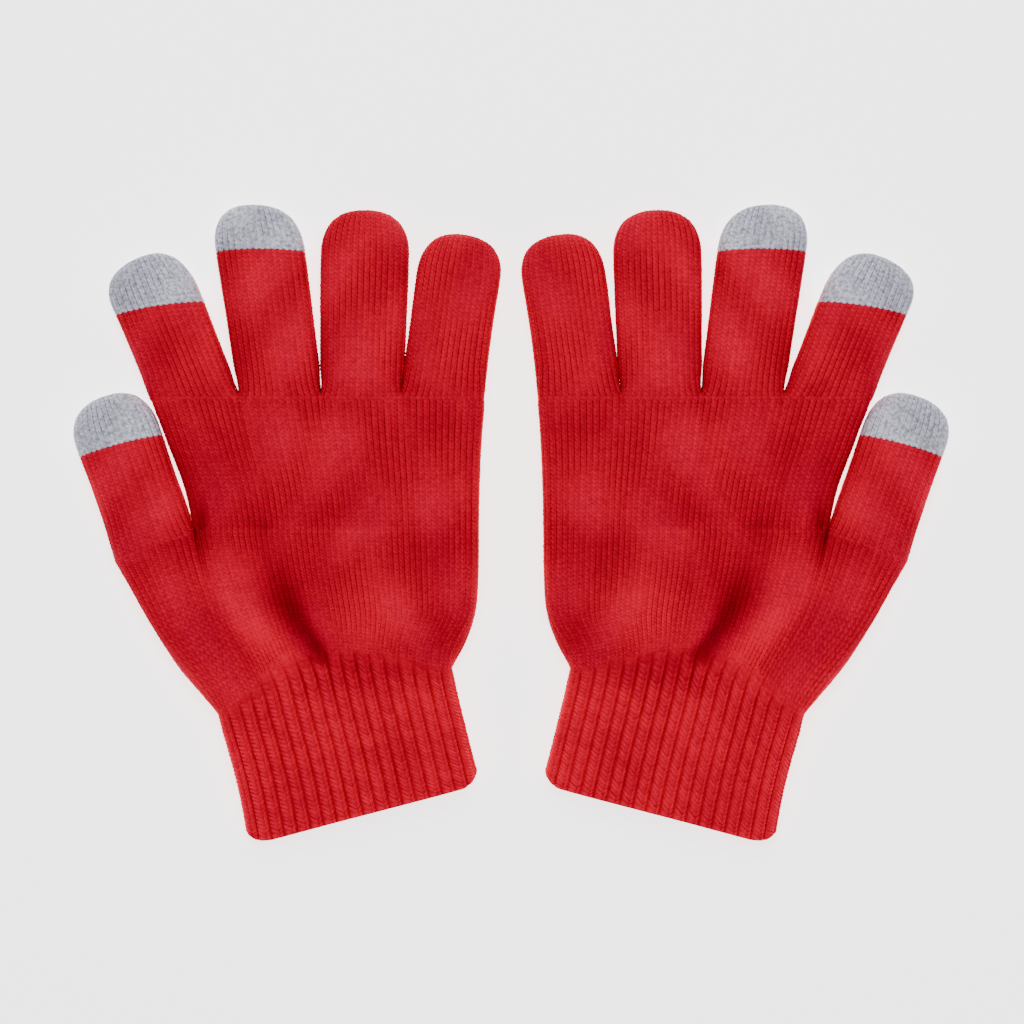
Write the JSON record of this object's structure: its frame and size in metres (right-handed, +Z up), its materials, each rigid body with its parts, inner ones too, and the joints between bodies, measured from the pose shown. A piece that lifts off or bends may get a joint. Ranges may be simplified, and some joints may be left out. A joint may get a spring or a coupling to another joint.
{
  "type": "touchscreen gloves",
  "caption": "Pair of knitted touchscreen gloves lying palm up, with ribbed cuffs, bending fingers and conductive thumb, index and middle fingertips.",
  "frame": {"origin": "bottom centre of the pair's box, on the surface that it lies on", "axes": "+X across the pair towards the right glove, +Y from the cuffs to the fingertips, +Z up out of the palms"},
  "size_m": [0.302, 0.2171, 0.0212],
  "materials": {
    "red_yarn": "matte brushed acrylic knit, bright red",
    "grey_conductive_yarn": "fine conductive knit, light bluish grey, slight sheen",
    "covered_elastic": "yarn-covered elastic thread, red"
  },
  "bodies": {
    "left_palm": {"left_lower_palm": "red_yarn", "left_upper_palm": "red_yarn", "left_ribbed_cuff": "red_yarn", "left_cuff_edge": "red_yarn", "left_cuff_elastic": "covered_elastic"},
    "left_index_base": {"left_index_base": "red_yarn"},
    "left_index_mid": {"left_index_mid": "red_yarn"},
    "left_index_tip": {"left_index_tip": "red_yarn", "left_index_conductive_tip": "grey_conductive_yarn"},
    "left_middle_base": {"left_middle_base": "red_yarn"},
    "left_middle_mid": {"left_middle_mid": "red_yarn"},
    "left_middle_tip": {"left_middle_tip": "red_yarn", "left_middle_conductive_tip": "grey_conductive_yarn"},
    "left_ring_base": {"left_ring_base": "red_yarn"},
    "left_ring_mid": {"left_ring_mid": "red_yarn"},
    "left_ring_tip": {"left_ring_tip": "red_yarn"},
    "left_little_base": {"left_little_base": "red_yarn"},
    "left_little_mid": {"left_little_mid": "red_yarn"},
    "left_little_tip": {"left_little_tip": "red_yarn"},
    "left_thumb_base": {"left_thumb_base": "red_yarn"},
    "left_thumb_tip": {"left_thumb_tip": "red_yarn", "left_thumb_conductive_tip": "grey_conductive_yarn"},
    "right_palm": {"right_lower_palm": "red_yarn", "right_upper_palm": "red_yarn", "right_ribbed_cuff": "red_yarn", "right_cuff_edge": "red_yarn", "right_cuff_elastic": "covered_elastic"},
    "right_index_base": {"right_index_base": "red_yarn"},
    "right_index_mid": {"right_index_mid": "red_yarn"},
    "right_index_tip": {"right_index_tip": "red_yarn", "right_index_conductive_tip": "grey_conductive_yarn"},
    "right_middle_base": {"right_middle_base": "red_yarn"},
    "right_middle_mid": {"right_middle_mid": "red_yarn"},
    "right_middle_tip": {"right_middle_tip": "red_yarn", "right_middle_conductive_tip": "grey_conductive_yarn"},
    "right_ring_base": {"right_ring_base": "red_yarn"},
    "right_ring_mid": {"right_ring_mid": "red_yarn"},
    "right_ring_tip": {"right_ring_tip": "red_yarn"},
    "right_little_base": {"right_little_base": "red_yarn"},
    "right_little_mid": {"right_little_mid": "red_yarn"},
    "right_little_tip": {"right_little_tip": "red_yarn"},
    "right_thumb_base": {"right_thumb_base": "red_yarn"},
    "right_thumb_tip": {"right_thumb_tip": "red_yarn", "right_thumb_conductive_tip": "grey_conductive_yarn"}
  },
  "joints": [
    {"name": "pair_spacing", "type": "slide", "parent": "left_palm", "child": "right_palm", "axis": [1, 0, 0], "range_m": [0, 0.15]},
    {"name": "left_index_knuckle", "type": "hinge", "parent": "left_palm", "child": "left_index_base", "pos_m": [-0.10915, 0.041, 0.014], "axis": [1, 0, 0], "range_deg": [0, 85]},
    {"name": "left_index_middle_joint", "type": "hinge", "parent": "left_index_base", "child": "left_index_mid", "pos_m": [-0.1162, 0.05881, 0.0133], "axis": [0.9298, 0.3681, 0], "range_deg": [0, 90]},
    {"name": "left_index_end_joint", "type": "hinge", "parent": "left_index_mid", "child": "left_index_tip", "pos_m": [-0.12051, 0.06969, 0.01287], "axis": [0.9298, 0.3681, 0], "range_deg": [0, 54]},
    {"name": "left_middle_knuckle", "type": "hinge", "parent": "left_palm", "child": "left_middle_base", "pos_m": [-0.07975, 0.041, 0.014], "axis": [1, 0, 0], "range_deg": [0, 85]},
    {"name": "left_middle_middle_joint", "type": "hinge", "parent": "left_middle_base", "child": "left_middle_mid", "pos_m": [-0.08315, 0.06517, 0.01336], "axis": [0.9903, 0.1392, 0], "range_deg": [0, 90]},
    {"name": "left_middle_end_joint", "type": "hinge", "parent": "left_middle_mid", "child": "left_middle_tip", "pos_m": [-0.0856, 0.08263, 0.01289], "axis": [0.9903, 0.1392, 0], "range_deg": [0, 54]},
    {"name": "left_ring_knuckle", "type": "hinge", "parent": "left_palm", "child": "left_ring_base", "pos_m": [-0.05195, 0.041, 0.014], "axis": [1, 0, 0], "range_deg": [0, 85]},
    {"name": "left_ring_middle_joint", "type": "hinge", "parent": "left_ring_base", "child": "left_ring_mid", "pos_m": [-0.05141, 0.06468, 0.01335], "axis": [0.9997, -0.0227, 0], "range_deg": [0, 90]},
    {"name": "left_ring_end_joint", "type": "hinge", "parent": "left_ring_mid", "child": "left_ring_tip", "pos_m": [-0.05102, 0.08178, 0.01288], "axis": [0.9997, -0.0227, 0], "range_deg": [0, 54]},
    {"name": "left_little_knuckle", "type": "hinge", "parent": "left_palm", "child": "left_little_base", "pos_m": [-0.0242, 0.041, 0.014], "axis": [1, 0, 0], "range_deg": [0, 85]},
    {"name": "left_little_middle_joint", "type": "hinge", "parent": "left_little_base", "child": "left_little_mid", "pos_m": [-0.02129, 0.06146, 0.01333], "axis": [0.99, -0.1409, 0], "range_deg": [0, 90]},
    {"name": "left_little_end_joint", "type": "hinge", "parent": "left_little_mid", "child": "left_little_tip", "pos_m": [-0.01919, 0.07623, 0.01285], "axis": [0.99, -0.1409, 0], "range_deg": [0, 54]},
    {"name": "left_thumb_base_joint", "type": "hinge", "parent": "left_palm", "child": "left_thumb_base", "pos_m": [-0.1227, -0.0097, 0.015], "axis": [0.9432, 0.3322, 0], "range_deg": [0, 90]},
    {"name": "left_thumb_end_joint", "type": "hinge", "parent": "left_thumb_base", "child": "left_thumb_tip", "pos_m": [-0.13177, 0.01605, 0.01334], "axis": [0.9432, 0.3322, 0], "range_deg": [0, 75]},
    {"name": "right_index_knuckle", "type": "hinge", "parent": "right_palm", "child": "right_index_base", "pos_m": [0.10915, 0.041, 0.014], "axis": [1, 0, 0], "range_deg": [0, 85]},
    {"name": "right_index_middle_joint", "type": "hinge", "parent": "right_index_base", "child": "right_index_mid", "pos_m": [0.1162, 0.05881, 0.0133], "axis": [0.9298, -0.3681, 0], "range_deg": [0, 90]},
    {"name": "right_index_end_joint", "type": "hinge", "parent": "right_index_mid", "child": "right_index_tip", "pos_m": [0.12051, 0.06969, 0.01287], "axis": [0.9298, -0.3681, 0], "range_deg": [0, 54]},
    {"name": "right_middle_knuckle", "type": "hinge", "parent": "right_palm", "child": "right_middle_base", "pos_m": [0.07975, 0.041, 0.014], "axis": [1, 0, 0], "range_deg": [0, 85]},
    {"name": "right_middle_middle_joint", "type": "hinge", "parent": "right_middle_base", "child": "right_middle_mid", "pos_m": [0.08315, 0.06517, 0.01336], "axis": [0.9903, -0.1392, 0], "range_deg": [0, 90]},
    {"name": "right_middle_end_joint", "type": "hinge", "parent": "right_middle_mid", "child": "right_middle_tip", "pos_m": [0.0856, 0.08263, 0.01289], "axis": [0.9903, -0.1392, 0], "range_deg": [0, 54]},
    {"name": "right_ring_knuckle", "type": "hinge", "parent": "right_palm", "child": "right_ring_base", "pos_m": [0.05195, 0.041, 0.014], "axis": [1, 0, 0], "range_deg": [0, 85]},
    {"name": "right_ring_middle_joint", "type": "hinge", "parent": "right_ring_base", "child": "right_ring_mid", "pos_m": [0.05141, 0.06468, 0.01335], "axis": [0.9997, 0.0227, 0], "range_deg": [0, 90]},
    {"name": "right_ring_end_joint", "type": "hinge", "parent": "right_ring_mid", "child": "right_ring_tip", "pos_m": [0.05102, 0.08178, 0.01288], "axis": [0.9997, 0.0227, 0], "range_deg": [0, 54]},
    {"name": "right_little_knuckle", "type": "hinge", "parent": "right_palm", "child": "right_little_base", "pos_m": [0.0242, 0.041, 0.014], "axis": [1, 0, 0], "range_deg": [0, 85]},
    {"name": "right_little_middle_joint", "type": "hinge", "parent": "right_little_base", "child": "right_little_mid", "pos_m": [0.02129, 0.06146, 0.01333], "axis": [0.99, 0.1409, 0], "range_deg": [0, 90]},
    {"name": "right_little_end_joint", "type": "hinge", "parent": "right_little_mid", "child": "right_little_tip", "pos_m": [0.01919, 0.07623, 0.01285], "axis": [0.99, 0.1409, 0], "range_deg": [0, 54]},
    {"name": "right_thumb_base_joint", "type": "hinge", "parent": "right_palm", "child": "right_thumb_base", "pos_m": [0.1227, -0.0097, 0.015], "axis": [0.9432, -0.3322, 0], "range_deg": [0, 90]},
    {"name": "right_thumb_end_joint", "type": "hinge", "parent": "right_thumb_base", "child": "right_thumb_tip", "pos_m": [0.13177, 0.01605, 0.01334], "axis": [0.9432, -0.3322, 0], "range_deg": [0, 75]}
  ],
  "couplings": [
    {"joint": "left_index_end_joint", "follows": "left_index_middle_joint", "ratio": 0.6},
    {"joint": "left_middle_end_joint", "follows": "left_middle_middle_joint", "ratio": 0.6},
    {"joint": "left_ring_end_joint", "follows": "left_ring_middle_joint", "ratio": 0.6},
    {"joint": "left_little_end_joint", "follows": "left_little_middle_joint", "ratio": 0.6},
    {"joint": "right_index_end_joint", "follows": "right_index_middle_joint", "ratio": 0.6},
    {"joint": "right_middle_end_joint", "follows": "right_middle_middle_joint", "ratio": 0.6},
    {"joint": "right_ring_end_joint", "follows": "right_ring_middle_joint", "ratio": 0.6},
    {"joint": "right_little_end_joint", "follows": "right_little_middle_joint", "ratio": 0.6}
  ]
}
